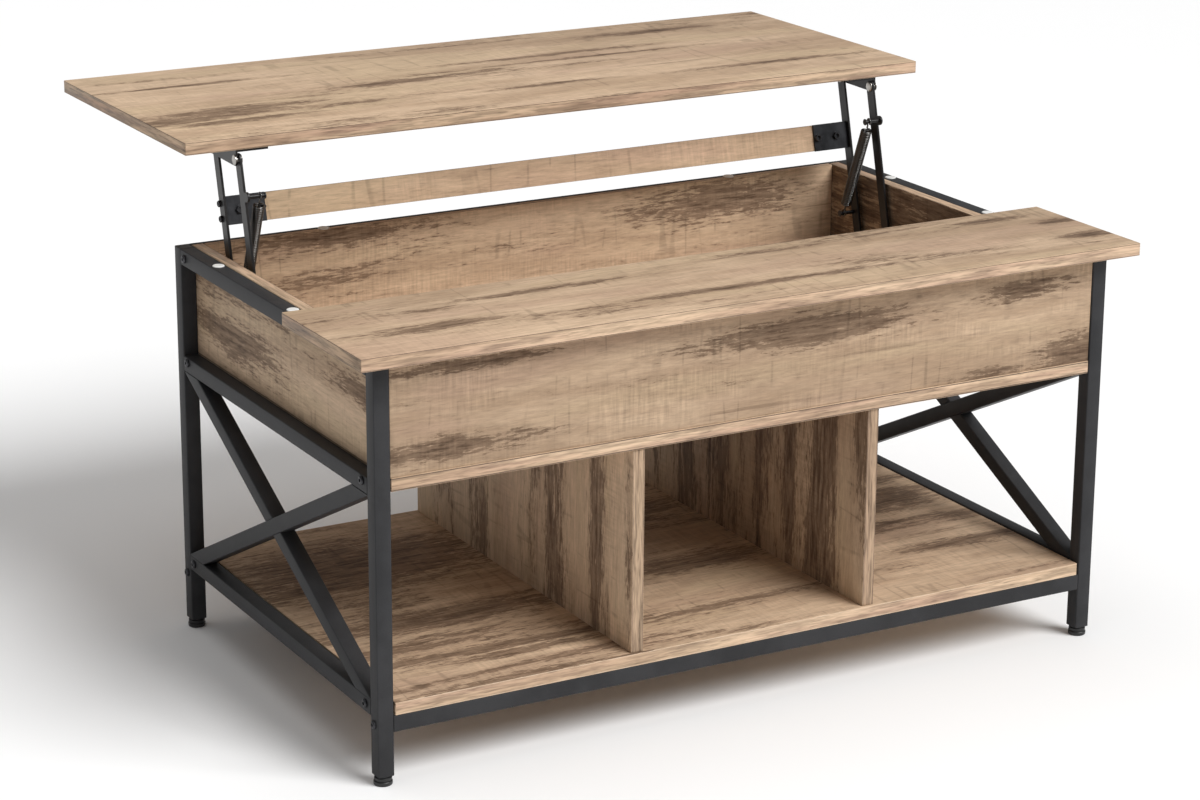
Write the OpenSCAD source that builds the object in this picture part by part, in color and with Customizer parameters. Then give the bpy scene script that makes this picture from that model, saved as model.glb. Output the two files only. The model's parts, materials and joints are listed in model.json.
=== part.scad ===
// Lift top coffee table: boards on two welded side frames of square steel tube.
// The rear part of the top stands raised on a four-bar lift; z = 0 is the floor.

/* [Table] */
// Length of both top boards, left to right
table_len = 1000; // [830:5:1200]
// Depth of the closed top, front to back
table_depth = 600; // [540:5:720]
// Floor to the upper face of the fixed top
table_h = 492; // [400:1:600]
// Thickness of every wide board
board_t = 15; // [12:0.5:22]
// Depth of the fixed top board
fixed_depth = 200; // [160:5:230]
// Gap between the fixed top and the closed lift top
top_gap = 2; // [1:0.5:5]

/* [Frame] */
// Outer width of the square tube
tube = 19; // [15:0.1:25]
// Wall of the square tube
tube_wall = 1.5; // [1:0.1:2.5]
// From the ends of the top to the side frames
frame_in_x = 26; // [10:1:60]
// From the front and rear edges of the top to the legs
frame_in_y = 27; // [10:1:60]
// Inner depth of the storage box
box_depth = 129; // [107:0.5:160]
// Floor to the underside of the two long rails
low_rail_z = 61; // [40:1:120]
// Thickness of the rear panel of the storage box
rear_t = 9; // [6:0.5:15]
// Thickness of the flat bar behind the rear panel
rear_bar_t = 6; // [3:0.5:8]

/* [Feet] */
// Floor to the bottom of a leg
foot_h = 11; // [6:0.5:20]
// Radius of a foot pad
foot_r = 10.5; // [8:0.5:16]
// Length of the threaded stud inside the leg
stud_len = 28; // [20:1:40]

/* [Lift] */
// Distance between the two pivots of an arm
arm_len = 224; // [185:0.1:270]
// Lean of the raised arms behind the vertical, in degrees
lift_lean = 14; // [6:0.5:20]
// Swing of the arms from raised to closed, in degrees
lift_swing = 81.4; // [70:0.1:88]
// Distance between the front and the rear arm
arm_gap = 67; // [56:1:80]
// Width of an arm
arm_w = 15; // [12:0.5:18]
// Thickness of an arm
arm_t = 3; // [2:0.5:4]
// Underside of the lift top to the upper pivots
pivot_drop = 12; // [11:0.5:16]
// Front edge of the lift top to the front upper pivots
pivot_in = 4; // [4:0.5:30]
// Radius of the pivot rivets
pivot_r = 4; // [3:0.5:5]
// Thickness of brackets and link plates
plate_t = 2.5; // [2:0.1:3.5]
// Width of the wooden batten between the rear arms
batten_w = 34; // [26:1:44]

/* [Spring] */
// Outer radius of a spring
spring_r = 6.5; // [5:0.1:7]
// Radius of the spring wire
wire_r = 0.9; // [0.6:0.1:1.3]
// Distance of the lower spring pin above the lower pivot, along the rear arm
low_pin_s = 50; // [35:1:70]
// Distance of the upper spring pin below the upper pivot, along the front arm
top_pin_drop = 44; // [30:1:70]
// Distance of the upper spring pin in front of the front arm
top_pin_n = 12; // [10:0.5:16]

/* [Fits] */
// Radial clearance of a rivet in its arm
pivot_clear = 0.1; // [0.02:0.01:0.1]
// Radial clearance of a bolt or screw in its hole
bolt_clear = 0.3; // [0.2:0.05:0.5]
// Gap between a board's end and the frame
board_gap = 0.5; // [0.3:0.1:2]
// Gap between an arm and the plate or rivet head beside it
side_gap = 0.3; // [0.2:0.1:0.5]
// Gap left above the bumpers by the closed lift top
close_gap = 0.3; // [0.2:0.1:1]
// Thickness of a bumper
bumper_t = 1.5; // [1:0.1:3]
// Radius of a bumper
bumper_r = 7; // [5:0.5:9]

/* [Hidden] */
$fn = 48;

// small set-backs and reveals
floor_reveal = 1.5;
side_rail_drop = 3;
apron_set = 2;
shelf_gap = 2;
arm_stand = 2.5;
cheek_gap = 1;
batten_gap = 5;
spring_stand = 8;

// heights
rail_top = table_h - board_t;
floor_top = rail_top - box_depth;
floor_z = floor_top - board_t;
mid_rail_z = floor_top - floor_reveal - tube;
shelf_z = low_rail_z + tube;
shelf_top = shelf_z + board_t;
side_low_z = shelf_z - side_rail_drop;

// plan
half_len = table_len / 2;
leg_x1 = half_len - frame_in_x;
leg_x0 = leg_x1 - tube;
panel_x0 = leg_x0 - board_t;
leg_front = frame_in_y;
leg_back = table_depth - frame_in_y;
bay_front = leg_front + tube;
bay_back = leg_back - tube;
apron_y0 = leg_front + apron_set;
apron_y1 = apron_y0 + board_t;
rear_y1 = leg_back - rear_bar_t;
rear_y0 = rear_y1 - rear_t;
bay_len = (2 * (leg_x0 - shelf_gap) - 2 * board_t) / 3;
divider_x = (bay_len + board_t) / 2;

// lift: positions in the y-z plane, measured from the table's front edge and the floor
lift_depth = table_depth - fixed_depth - top_gap;
closed_y = fixed_depth + top_gap;
closed_z = rail_top + bumper_t + close_gap;
rest_angle = 90 + lift_lean;
shut_angle = rest_angle - lift_swing;
lift_shift = arm_len * (cos(shut_angle) - cos(rest_angle));
lift_rise = arm_len * (sin(rest_angle) - sin(shut_angle));
lift_y = closed_y + lift_shift;
lift_z = closed_z + lift_rise;
front_top_y = lift_y + pivot_in;
pivot_top_z = lift_z - pivot_drop;
front_y = front_top_y - arm_len * sin(lift_lean);
rear_y = front_y + arm_gap;
base_z = pivot_top_z - arm_len * cos(lift_lean);

// lift: layers outwards from the middle of the table, on the right side
arm_x1 = panel_x0 - plate_t - arm_stand;
arm_x0 = arm_x1 - arm_t;
cheek_x0 = arm_x1 + cheek_gap;
link_x0 = arm_x0 - plate_t;
batten_x = link_x0 - batten_gap;
spring_x = arm_x0 - spring_r - spring_stand;
link_mid = arm_len * 0.67;
link_s0 = link_mid - batten_w / 2;
link_s1 = link_mid + batten_w / 2;
link_bolt_s = [link_mid - 9, link_mid + 9];
link_bolt_n = 4.6;
flange_len = 48;
plate_bolt_x = [batten_x - 10, batten_x - 38];
low_pin_n = 4;
top_pin_s = arm_len - top_pin_drop;
base_y0 = front_y - 20;
base_y1 = rear_y + 20;
base_z0 = floor_top + 4;
base_z1 = base_z + 23;

// the rest pose's box is centred on the origin
mid_y = (lift_y + lift_depth) / 2;

// a point given along and behind an arm, as [y, z]
function on_arm(root_y, s, n) = [
    root_y + s * sin(lift_lean) + n * cos(lift_lean),
    base_z + s * cos(lift_lean) - n * sin(lift_lean)];
low_pin = on_arm(rear_y, low_pin_s, low_pin_n);
top_pin = on_arm(front_y, top_pin_s, -top_pin_n);
spring_len = norm(top_pin - low_pin);
spring_lean = atan2(top_pin[0] - low_pin[0], top_pin[1] - low_pin[1]);
coil_start = 17;
coil_end = spring_len - 15;

// bolt and screw places
floor_mid = floor_z + board_t / 2;
shelf_mid = shelf_z + board_t / 2;
rail_mid = low_rail_z + tube / 2;
side_bolt_y = [bay_front + 12, bay_back - 12];
leg_y = [leg_front + tube / 2, leg_back - tube / 2];
divider_bolt_y = [120, 480];
foot_spots = [for (x = [-1, 1], y = leg_y) [x * (leg_x1 - tube / 2), y]];
bumper_spots = concat(
    [for (x = [-1, 1], y = [251, 461]) [x * (leg_x0 + tube / 2), y * table_depth / 600]],
    [for (x = [-0.57, 0.57]) [x * half_len, rear_y1 - 2]]);
base_screws = [for (y = [base_y0 + 7, base_y1 - 7], z = [base_z0 + 8, base_z1 - 8]) [y, z]];
lift_screw_y = [lift_y + 20, lift_y + arm_gap - 14];
angle_y = [bay_front + 24, bay_front + 104];
angle_leg = 22;

// ---------- helpers ----------

// colour a part and move it from the table's front edge to the origin
module painted(tint) color(tint) translate([0, -mid_y, 0]) children();

// a block given by its two ends along each axis
module block(x, y, z)
    translate([x[0], y[0], z[0]]) cube([x[1] - x[0], y[1] - y[0], z[1] - z[0]]);

// round rods along each axis
module x_rod(r, x, at = [0, 0])
    translate([x[0], at[0], at[1]]) rotate([0, 90, 0]) cylinder(r = r, h = x[1] - x[0]);
module y_rod(r, y, at = [0, 0])
    translate([at[0], y[1], at[1]]) rotate([90, 0, 0]) cylinder(r = r, h = y[1] - y[0]);
module z_rod(r, z, at = [0, 0])
    translate([at[0], at[1], z[0]]) cylinder(r = r, h = z[1] - z[0]);

// side = 1 is the right of the table, side = -1 its mirror image on the left
module on_side(side)
    if (side > 0) children();
    else mirror([1, 0, 0]) children();
module both_sides() for (side = [-1, 1]) on_side(side) children();

// square tubes
module z_tube(x, y, z) difference() {
    block([x, x + tube], [y, y + tube], z);
    block([x + tube_wall, x + tube - tube_wall],
        [y + tube_wall, y + tube - tube_wall], [z[0] - 1, z[1] + 1]);
}
module y_tube(x, y, z) difference() {
    block([x, x + tube], y, [z, z + tube]);
    block([x + tube_wall, x + tube - tube_wall], [y[0] - 1, y[1] + 1],
        [z + tube_wall, z + tube - tube_wall]);
}
module x_tube(x, y, z) difference() {
    block(x, [y, y + tube], [z, z + tube]);
    block([x[0] - 1, x[1] + 1], [y + tube_wall, y + tube - tube_wall],
        [z + tube_wall, z + tube - tube_wall]);
}

// button-head socket bolt: seat at the origin, shank along -Z
module button_bolt(r, len) {
    difference() {
        union() {
            cylinder(r = r * 1.7, h = r * 0.5);
            translate([0, 0, r * 0.5]) cylinder(r1 = r * 1.7, r2 = r * 1.1, h = r * 0.5);
        }
        translate([0, 0, r * 0.4]) cylinder(r = r * 0.75, h = r, $fn = 6);
    }
    translate([0, 0, -len]) cylinder(r = r, h = len);
}

// pan-head cross screw: seat at the origin, shank along -Z
module pan_screw(r, len) {
    difference() {
        cylinder(r1 = r * 2, r2 = r * 1.5, h = r);
        for (turn = [0, 90]) rotate([0, 0, turn])
            translate([-r, -r * 0.2, r * 0.5]) cube([r * 2, r * 0.4, r]);
    }
    translate([0, 0, -len]) cylinder(r1 = r * 0.4, r2 = r, h = r * 2);
    translate([0, 0, r * 2 - len]) cylinder(r = r, h = len - r * 2);
}

// hex bolt with a nut at the far end of its grip: seat at the origin, shank along -Z
module hex_bolt(r, grip, len, nut) {
    cylinder(r = r * 2.02, h = r * 1.4, $fn = 6);
    translate([0, 0, -len]) cylinder(r = r, h = len);
    if (nut) translate([0, 0, -grip - r * 1.6]) cylinder(r = r * 2.02, h = r * 1.6, $fn = 6);
}

// point +Z along an axis
module face_x() rotate([0, 90, 0]) children();
module face_y() rotate([-90, 0, 0]) children();
module face_down() rotate([180, 0, 0]) children();

// ---------- bolt and screw places ----------

// every bolt that comes in through a side frame, on the right: [y, z]
board_bolt_spots = [for (y = side_bolt_y, z = [floor_mid, shelf_mid]) [y, z]];
panel_bolt_spots = [for (y = side_bolt_y) [y, rail_top - tube / 2]];
rail_bolt_spots = [for (y = leg_y) [y, rail_mid]];
board_bolt_len = tube + 28;
panel_bolt_len = tube + board_t - 4;
rail_bolt_len = tube + 20;
bolt_r = 3;
screw_r = 2;
screw_len = 12;
confirmat_r = 2.5;
confirmat_len = board_t + 30;
dowel_r = 3;
dowel_len = 24;

module side_holes(spots, x0)
    both_sides() for (at = spots) x_rod(bolt_r + bolt_clear, [x0, leg_x1 + 1], at);
module side_bolts(spots, len)
    both_sides() for (at = spots) translate([leg_x1, at[0], at[1]]) face_x() button_bolt(bolt_r, len);

// dowel places: front panel to floor, and front panel to the side panels
floor_dowels = [-0.62, -0.2, 0.2, 0.62] * half_len;
side_dowels = [floor_top + 30, rail_top - 30];
module panel_dowel_shapes(r, slack) {
    for (x = floor_dowels)
        z_rod(r, [floor_top - dowel_len / 2 - slack, floor_top + dowel_len / 2 + slack],
            [x, (apron_y0 + apron_y1) / 2]);
    both_sides() for (z = side_dowels)
        y_rod(r, [apron_y1 - 8 - slack, apron_y1 + dowel_len - 8 + slack],
            [panel_x0 + board_t / 2, z]);
}
module panel_dowel_holes() panel_dowel_shapes(dowel_r + bolt_clear, 1);

// confirmat screws into the dividers: from under the shelf and from inside the box
module divider_screw_shapes(clear) for (x = [-divider_x, divider_x], y = divider_bolt_y) {
    translate([x, y, shelf_z]) face_down() confirmat(clear);
    translate([x, y, floor_top]) confirmat(clear);
}
module confirmat(clear) {
    translate([0, 0, -4]) cylinder(r1 = confirmat_r + clear, r2 = 4.5 + clear, h = 4 - clear * 2);
    if (clear > 0) translate([0, 0, -clear * 2 - 0.01]) cylinder(r = 4.5 + clear, h = 1);
    translate([0, 0, -confirmat_len - clear * 2])
        cylinder(r = confirmat_r + clear, h = confirmat_len - 3.9 + clear * 2);
}

// angle brackets that hold the fixed top, on the side panels' inner faces
module angle_screw_shapes(r, len) both_sides() for (y = angle_y) {
    translate([panel_x0 - 2, y - 5, rail_top - 13]) face_x() face_down() screw_or_hole(r, len);
    translate([panel_x0 - 13, y + 5, rail_top - 2]) face_down() screw_or_hole(r, len);
}
module base_screw_shapes(r, len) both_sides() for (at = base_screws)
    translate([panel_x0 - plate_t, at[0], at[1]]) face_x() face_down() screw_or_hole(r, len);
module rear_screw_shapes(r, len) for (x = [-0.75, -0.25, 0.25, 0.75] * half_len)
    translate([x, leg_back, rail_top - tube / 2]) face_y() screw_or_hole(r, len);
module lift_screw_shapes(r, len) both_sides()
    for (y = lift_screw_y, x = [cheek_x0 - 10, cheek_x0 - 28])
        translate([x, y, lift_z - plate_t]) face_down() screw_or_hole(r, len);
// r = 0 draws the screw itself, any other r a hole for it
module screw_or_hole(r, len)
    if (r > 0) translate([0, 0, -len]) cylinder(r = r, h = len + 1);
    else pan_screw(screw_r, len);
screw_hole = screw_r + bolt_clear;

// ---------- frame ----------

module steel() painted([0.13, 0.13, 0.14]) children();

module leg(side, y) steel() difference() {
    on_side(side) z_tube(leg_x0, y, [foot_h, rail_top]);
    side_holes(rail_bolt_spots, leg_x0 - 1);
}
module leg_front_left() leg(-1, leg_front);
module leg_front_right() leg(1, leg_front);
module leg_rear_left() leg(-1, bay_back);
module leg_rear_right() leg(1, bay_back);

module side_rail(side, z) steel() difference() {
    on_side(side) y_tube(leg_x0, [bay_front, bay_back], z);
    side_holes(concat(board_bolt_spots, panel_bolt_spots), leg_x0 - 1);
}
module top_rail_left() side_rail(-1, rail_top - tube);
module top_rail_right() side_rail(1, rail_top - tube);
module mid_rail_left() side_rail(-1, mid_rail_z);
module mid_rail_right() side_rail(1, mid_rail_z);
module low_rail_left() side_rail(-1, side_low_z);
module low_rail_right() side_rail(1, side_low_z);

// X brace: one bar runs from low at the back to high at the front, the other is cut at it
brace_y = [bay_front, bay_back];
brace_z = [side_low_z + tube, mid_rail_z];
brace_mid = [(bay_front + bay_back) / 2, (brace_z[0] + brace_z[1]) / 2];
brace_tilt = atan2(brace_z[1] - brace_z[0] + tube, bay_back - bay_front);
module bar_area(width, tilt)
    translate(brace_mid) rotate(tilt) square([table_depth * 1.4, width], center = true);
module brace_bay() translate([brace_y[0], brace_z[0]])
    square([brace_y[1] - brace_y[0], brace_z[1] - brace_z[0]]);
module long_bar(width) intersection() { bar_area(width, -brace_tilt); brace_bay(); }
module half_bars(width) difference() {
    intersection() { bar_area(width, brace_tilt); brace_bay(); }
    bar_area(tube, -brace_tilt);
}
// stand a y-z outline up at x0, t thick
module stand(x0, t) translate([x0, 0, 0]) rotate([90, 0, 90]) linear_extrude(t) children();
module brace_left() steel() on_side(-1) long_brace();
module brace_right() steel() long_brace();
module long_brace() difference() {
    stand(leg_x0, tube) long_bar(tube);
    stand(leg_x0 + tube_wall, tube - 2 * tube_wall) long_bar(tube - 2 * tube_wall);
}
module half_brace_left() steel() on_side(-1) half_braces();
module half_brace_right() steel() half_braces();
module half_braces() difference() {
    stand(leg_x0, tube) half_bars(tube);
    stand(leg_x0 + tube_wall, tube - 2 * tube_wall) half_bars(tube - 2 * tube_wall);
}

module long_rail(y) steel() x_tube([-leg_x0, leg_x0], y, low_rail_z);
module front_rail() long_rail(leg_front);
module rear_rail() long_rail(bay_back);
module rear_bar() steel() difference() {
    block([-leg_x0, leg_x0], [rear_y1, leg_back], [rail_top - tube, rail_top]);
    rear_screw_shapes(screw_hole, screw_len + 1);
}

module plastic() painted([0.05, 0.05, 0.05]) children();

plug = tube - 2 * tube_wall - 0.4;
// threaded blocks in the ends of the long rails
module rail_end_inserts() painted([0.62, 0.62, 0.6]) difference() {
    both_sides() for (y = leg_y)
        block([leg_x0 - 26, leg_x0 - 0.2], [y - plug / 2, y + plug / 2],
            [rail_mid - plug / 2, rail_mid + plug / 2]);
    side_holes(rail_bolt_spots, leg_x0 - 27);
}
module leg_caps() plastic() for (at = foot_spots)
    block([at[0] - plug / 2, at[0] + plug / 2], [at[1] - plug / 2, at[1] + plug / 2],
        [rail_top - 8, rail_top]);
module leg_inserts() plastic() for (at = foot_spots) difference() {
    block([at[0] - plug / 2, at[0] + plug / 2], [at[1] - plug / 2, at[1] + plug / 2],
        [foot_h, foot_h + 22]);
    z_rod(3 + pivot_clear, [foot_h - 1, foot_h + 23], at);
}

// levelling foot: round pad on a threaded stud
module foot(n) plastic() translate([foot_spots[n][0], foot_spots[n][1], 0])
    rotate_extrude() polygon([[0, 0], [foot_r - 1, 0], [foot_r, 1], [foot_r, foot_h - 3],
        [foot_r - 1, foot_h - 2], [5, foot_h - 2], [5, foot_h - 0.6], [3, foot_h - 0.6],
        [3, foot_h + stud_len - 1], [2.2, foot_h + stud_len], [0, foot_h + stud_len]]);
module foot_front_left() foot(0);
module foot_rear_left() foot(1);
module foot_front_right() foot(2);
module foot_rear_right() foot(3);

// ---------- boards ----------

module wood() painted([0.62, 0.5, 0.39]) children();

module fixed_top() wood() difference() {
    block([-half_len, half_len], [0, fixed_depth], [rail_top, table_h]);
    angle_screw_shapes(screw_hole, screw_len + 1);
}
module lift_top() wood() difference() {
    block([-half_len, half_len], [lift_y, lift_y + lift_depth], [lift_z, lift_z + board_t]);
    lift_screw_shapes(screw_hole, screw_len + 1);
}
module front_panel() wood() difference() {
    block([board_gap - leg_x0, leg_x0 - board_gap], [apron_y0, apron_y1], [floor_top, rail_top]);
    panel_dowel_holes();
}
module side_panel(side) wood() difference() {
    on_side(side) block([panel_x0, leg_x0], [apron_y1, rear_y1], [floor_top, rail_top]);
    panel_dowel_holes();
    side_holes(panel_bolt_spots, panel_x0 + 3);
    angle_screw_shapes(screw_hole, screw_len + 1);
    base_screw_shapes(screw_hole, screw_len + 1);
}
module side_panel_left() side_panel(-1);
module side_panel_right() side_panel(1);
module rear_panel() wood() difference() {
    block([board_gap - panel_x0, panel_x0 - board_gap], [rear_y0, rear_y1], [floor_top, rail_top]);
    rear_screw_shapes(screw_hole, screw_len + 1);
}
module box_floor() wood() difference() {
    block([board_gap - leg_x0, leg_x0 - board_gap], [leg_front + 0.5, leg_back], [floor_z, floor_top]);
    panel_dowel_holes();
    side_holes(board_bolt_spots, leg_x0 - 30);
    divider_screw_shapes(bolt_clear);
}
module shelf() wood() difference() {
    block([shelf_gap - leg_x0, leg_x0 - shelf_gap], [leg_front + 0.5, leg_back], [shelf_z, shelf_top]);
    side_holes(board_bolt_spots, leg_x0 - 30);
    divider_screw_shapes(bolt_clear);
}
module divider(x) wood() difference() {
    block([x - board_t / 2, x + board_t / 2], [leg_front + 3, leg_back - 3], [shelf_top, floor_z]);
    divider_screw_shapes(bolt_clear);
}
module divider_left() divider(-divider_x);
module divider_right() divider(divider_x);

// ---------- fasteners of the frame and the box ----------

module zinc() painted([0.7, 0.7, 0.7]) children();
module rivet_steel() painted([0.45, 0.45, 0.47]) children();

module rail_bolts() steel() side_bolts(rail_bolt_spots, rail_bolt_len);
module board_bolts() steel() side_bolts(board_bolt_spots, board_bolt_len);
module panel_bolts() steel() side_bolts(panel_bolt_spots, panel_bolt_len);
module divider_screws() zinc() divider_screw_shapes(0);
module panel_dowels() painted([0.8, 0.68, 0.48]) panel_dowel_shapes(dowel_r, 0);
module wood_screws() zinc() {
    angle_screw_shapes(0, screw_len);
    base_screw_shapes(0, screw_len);
    rear_screw_shapes(0, screw_len);
}
module angle_brackets() zinc() difference() {
    both_sides() for (y = angle_y) union() {
        block([panel_x0 - 2, panel_x0], [y - 12, y + 12], [rail_top - angle_leg, rail_top]);
        block([panel_x0 - angle_leg, panel_x0 - 1], [y - 12, y + 12], [rail_top - 2, rail_top]);
    }
    angle_screw_shapes(screw_hole, screw_len + 1);
}
module bumpers() painted([0.93, 0.93, 0.9]) for (at = bumper_spots)
    translate([at[0], at[1], rail_top]) rotate_extrude() polygon([[0, 0], [bumper_r, 0],
        [bumper_r, bumper_t * 0.6], [bumper_r - 1.2, bumper_t], [0, bumper_t]]);

// ---------- lift ----------

// turn a shape drawn upright at a pivot into the raised arm's lean
module lean(root_y) translate([0, root_y, base_z]) rotate([-lift_lean, 0, 0]) children();

module arm_bar() {
    block([arm_x0, arm_x1], [-arm_w / 2, arm_w / 2], [0, arm_len]);
    for (s = [0, arm_len]) x_rod(arm_w / 2, [arm_x0, arm_x1], [0, s]);
}
module arm_holes() for (s = [0, arm_len])
    x_rod(pivot_r + pivot_clear, [arm_x0 - 1, arm_x1 + 1], [0, s]);
module link_holes() for (s = link_bolt_s)
    x_rod(screw_hole, [link_x0 - 1, arm_x1 + 1], [link_bolt_n, s]);

module rear_arm(side) steel() on_side(side) lean(rear_y) difference() {
    arm_bar();
    arm_holes();
    link_holes();
}
module rear_arm_left() rear_arm(-1);
module rear_arm_right() rear_arm(1);

// the front arm has an ear with the upper spring pin
module front_arm(side) steel() on_side(side) lean(front_y) {
    difference() {
        union() {
            arm_bar();
            block([arm_x0, arm_x1], [-top_pin_n, 0], [top_pin_s - 6, top_pin_s + 6]);
            x_rod(6, [arm_x0, arm_x1], [-top_pin_n, top_pin_s]);
        }
        arm_holes();
    }
    spring_pin([-top_pin_n, top_pin_s]);
}
module front_arm_left() front_arm(-1);
module front_arm_right() front_arm(1);

module spring_pin(at) {
    x_rod(2.5, [spring_x - 5, arm_x0], at);
    x_rod(4, [spring_x - 6.5, spring_x - 5], at);
}
module low_spring_pins() steel() both_sides() lean(rear_y) spring_pin([low_pin_n, low_pin_s]);

module link_plates() painted([0.28, 0.28, 0.3]) both_sides() lean(rear_y) difference() {
    union() {
        block([link_x0, arm_x0], [-plate_t, arm_w / 2 + 3], [link_s0, link_s1]);
        block([link_x0 - flange_len, arm_x0], [-plate_t, 0], [link_s0, link_s1]);
    }
    link_holes();
    for (x = plate_bolt_x) y_rod(2.5 + bolt_clear, [-plate_t - 1, 1], [x, link_mid]);
}
module batten() wood() lean(rear_y) difference() {
    block([-batten_x, batten_x], [0, board_t], [link_s0 + 0.5, link_s1 - 0.5]);
    both_sides() for (x = plate_bolt_x) y_rod(2.5 + bolt_clear, [-1, board_t - 1.5], [x, link_mid]);
}
module link_bolts() steel() both_sides() lean(rear_y) {
    for (s = link_bolt_s) translate([arm_x1, link_bolt_n, s]) face_x()
        hex_bolt(screw_r, arm_t + plate_t, arm_t + plate_t + 3.6, true);
    for (x = plate_bolt_x) translate([x, -plate_t, link_mid]) rotate([90, 0, 0])
        hex_bolt(2.5, 0, plate_t + board_t - 3, false);
}

// base bracket on the side panel, with the two lower rivets
module base_brackets() steel() difference() {
    both_sides() block([panel_x0 - plate_t, panel_x0],
        [base_y0, base_y1], [base_z0, base_z1]);
    base_screw_shapes(screw_hole, screw_len + 1);
    both_sides() for (y = [front_y, rear_y])
        x_rod(pivot_r, [panel_x0 - plate_t - 1, panel_x0 + 1], [y, base_z]);
}
module rivet(x, head) {
    x_rod(pivot_r, [arm_x0 - side_gap, x]);
    translate([arm_x0 - side_gap - head, 0, 0]) face_x()
        cylinder(r1 = pivot_r + 1.2, r2 = pivot_r + 2.5, h = head);
}
module base_rivets() rivet_steel() both_sides() for (y = [front_y, rear_y])
    translate([0, y, base_z]) {
        rivet(panel_x0, 1.8);
        // spacer collar between bracket and arm
        x_rod(pivot_r + 3, [arm_x1 + side_gap, panel_x0 - plate_t]);
    }

// top bracket: a cheek outside the arms and a flange under the lift top
cheek_low = pivot_top_z - 7;
module top_brackets() steel() difference() {
    both_sides() union() {
        stand(cheek_x0, plate_t) polygon([
            [lift_y + 0.5, lift_z], [lift_y + 0.5, cheek_low + 3], [lift_y + 2.5, cheek_low],
            [front_top_y + 8, cheek_low], [front_top_y + arm_gap + 12, pivot_top_z - 6],
            [front_top_y + arm_gap + 18, lift_z - 8], [front_top_y + arm_gap + 18, lift_z]]);
        block([cheek_x0 - 38, cheek_x0 + plate_t],
            [lift_y + 0.5, front_top_y + arm_gap + 18], [lift_z - plate_t, lift_z]);
    }
    lift_screw_shapes(screw_hole, screw_len + 1);
    both_sides() for (y = [0, arm_gap])
        x_rod(pivot_r, [cheek_x0 - 1, cheek_x0 + plate_t + 1], [front_top_y + y, pivot_top_z]);
}
module top_rivets() rivet_steel() both_sides() for (y = [0, arm_gap])
    translate([0, front_top_y + y, pivot_top_z]) {
        rivet(cheek_x0 + plate_t, 1.8);
        x_rod(pivot_r + 2, [cheek_x0 + plate_t, cheek_x0 + plate_t + 1]);
    }
module top_bracket_screws() zinc() lift_screw_shapes(0, screw_len);

// ---------- springs ----------

// draw along the spring's own axis, from the lower pin upwards
module along_spring() translate([spring_x, low_pin[0], low_pin[1]])
    rotate([-spring_lean, 0, 0]) children();
eye_r = 2.5 + side_gap + wire_r;
module eye() rotate([0, 90, 0]) rotate_extrude() translate([eye_r, 0]) circle(wire_r, $fn = 24);
module hook(from, to) {
    translate([0, 0, from]) eye();
    z_rod(wire_r, to > from ? [from + eye_r, to] : [to, from - eye_r]);
}
module spring(side) painted([0.1, 0.1, 0.1]) on_side(side) along_spring() {
    difference() {
        z_rod(spring_r, [coil_start, coil_end]);
        z_rod(spring_r - 2 * wire_r, [coil_start + 2 * wire_r, coil_end + 1]);
    }
    hook(0, coil_start + 0.5);
}
module spring_left() spring(-1);
module spring_right() spring(1);
module spring_hook(side) painted([0.1, 0.1, 0.1]) on_side(side) along_spring()
    hook(spring_len, coil_end - 6);
module spring_hook_left() spring_hook(-1);
module spring_hook_right() spring_hook(1);

// ---------- drawing ----------

leg_front_left();
leg_front_right();
leg_rear_left();
leg_rear_right();
top_rail_left();
top_rail_right();
mid_rail_left();
mid_rail_right();
low_rail_left();
low_rail_right();
brace_left();
brace_right();
half_brace_left();
half_brace_right();
front_rail();
rear_rail();
rear_bar();
rail_end_inserts();
leg_caps();
leg_inserts();
foot_front_left();
foot_front_right();
foot_rear_left();
foot_rear_right();
fixed_top();
lift_top();
front_panel();
side_panel_left();
side_panel_right();
rear_panel();
box_floor();
shelf();
divider_left();
divider_right();
rail_bolts();
board_bolts();
panel_bolts();
divider_screws();
wood_screws();
panel_dowels();
angle_brackets();
bumpers();
base_brackets();
base_rivets();
rear_arm_left();
rear_arm_right();
link_plates();
batten();
link_bolts();
low_spring_pins();
front_arm_left();
front_arm_right();
top_brackets();
top_rivets();
top_bracket_screws();
spring_left();
spring_right();
spring_hook_left();
spring_hook_right();
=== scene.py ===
import json
from math import atan2, ceil, cos, pi, radians, sin

import bmesh
import bpy
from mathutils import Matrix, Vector


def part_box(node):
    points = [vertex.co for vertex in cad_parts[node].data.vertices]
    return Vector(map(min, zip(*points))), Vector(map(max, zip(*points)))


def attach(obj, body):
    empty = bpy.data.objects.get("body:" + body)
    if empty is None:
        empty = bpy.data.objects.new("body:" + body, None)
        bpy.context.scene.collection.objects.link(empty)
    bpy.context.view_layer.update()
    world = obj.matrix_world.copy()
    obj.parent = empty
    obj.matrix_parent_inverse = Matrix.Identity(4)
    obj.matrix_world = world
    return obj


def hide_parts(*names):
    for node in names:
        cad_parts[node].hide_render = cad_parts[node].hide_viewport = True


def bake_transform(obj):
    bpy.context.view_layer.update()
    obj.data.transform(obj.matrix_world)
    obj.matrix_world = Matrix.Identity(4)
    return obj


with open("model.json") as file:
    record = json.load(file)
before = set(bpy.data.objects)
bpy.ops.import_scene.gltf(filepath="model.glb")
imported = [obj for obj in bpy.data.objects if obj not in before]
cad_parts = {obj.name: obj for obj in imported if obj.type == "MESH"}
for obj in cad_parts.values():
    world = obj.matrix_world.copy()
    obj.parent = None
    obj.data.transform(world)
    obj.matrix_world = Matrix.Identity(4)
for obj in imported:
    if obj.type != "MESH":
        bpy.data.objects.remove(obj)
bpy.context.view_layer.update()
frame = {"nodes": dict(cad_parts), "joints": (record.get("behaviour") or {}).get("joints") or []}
scene = bpy.context.scene
scene.view_settings.view_transform = "Standard"
print("frame loaded:", len(frame["nodes"]), "nodes")

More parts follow.
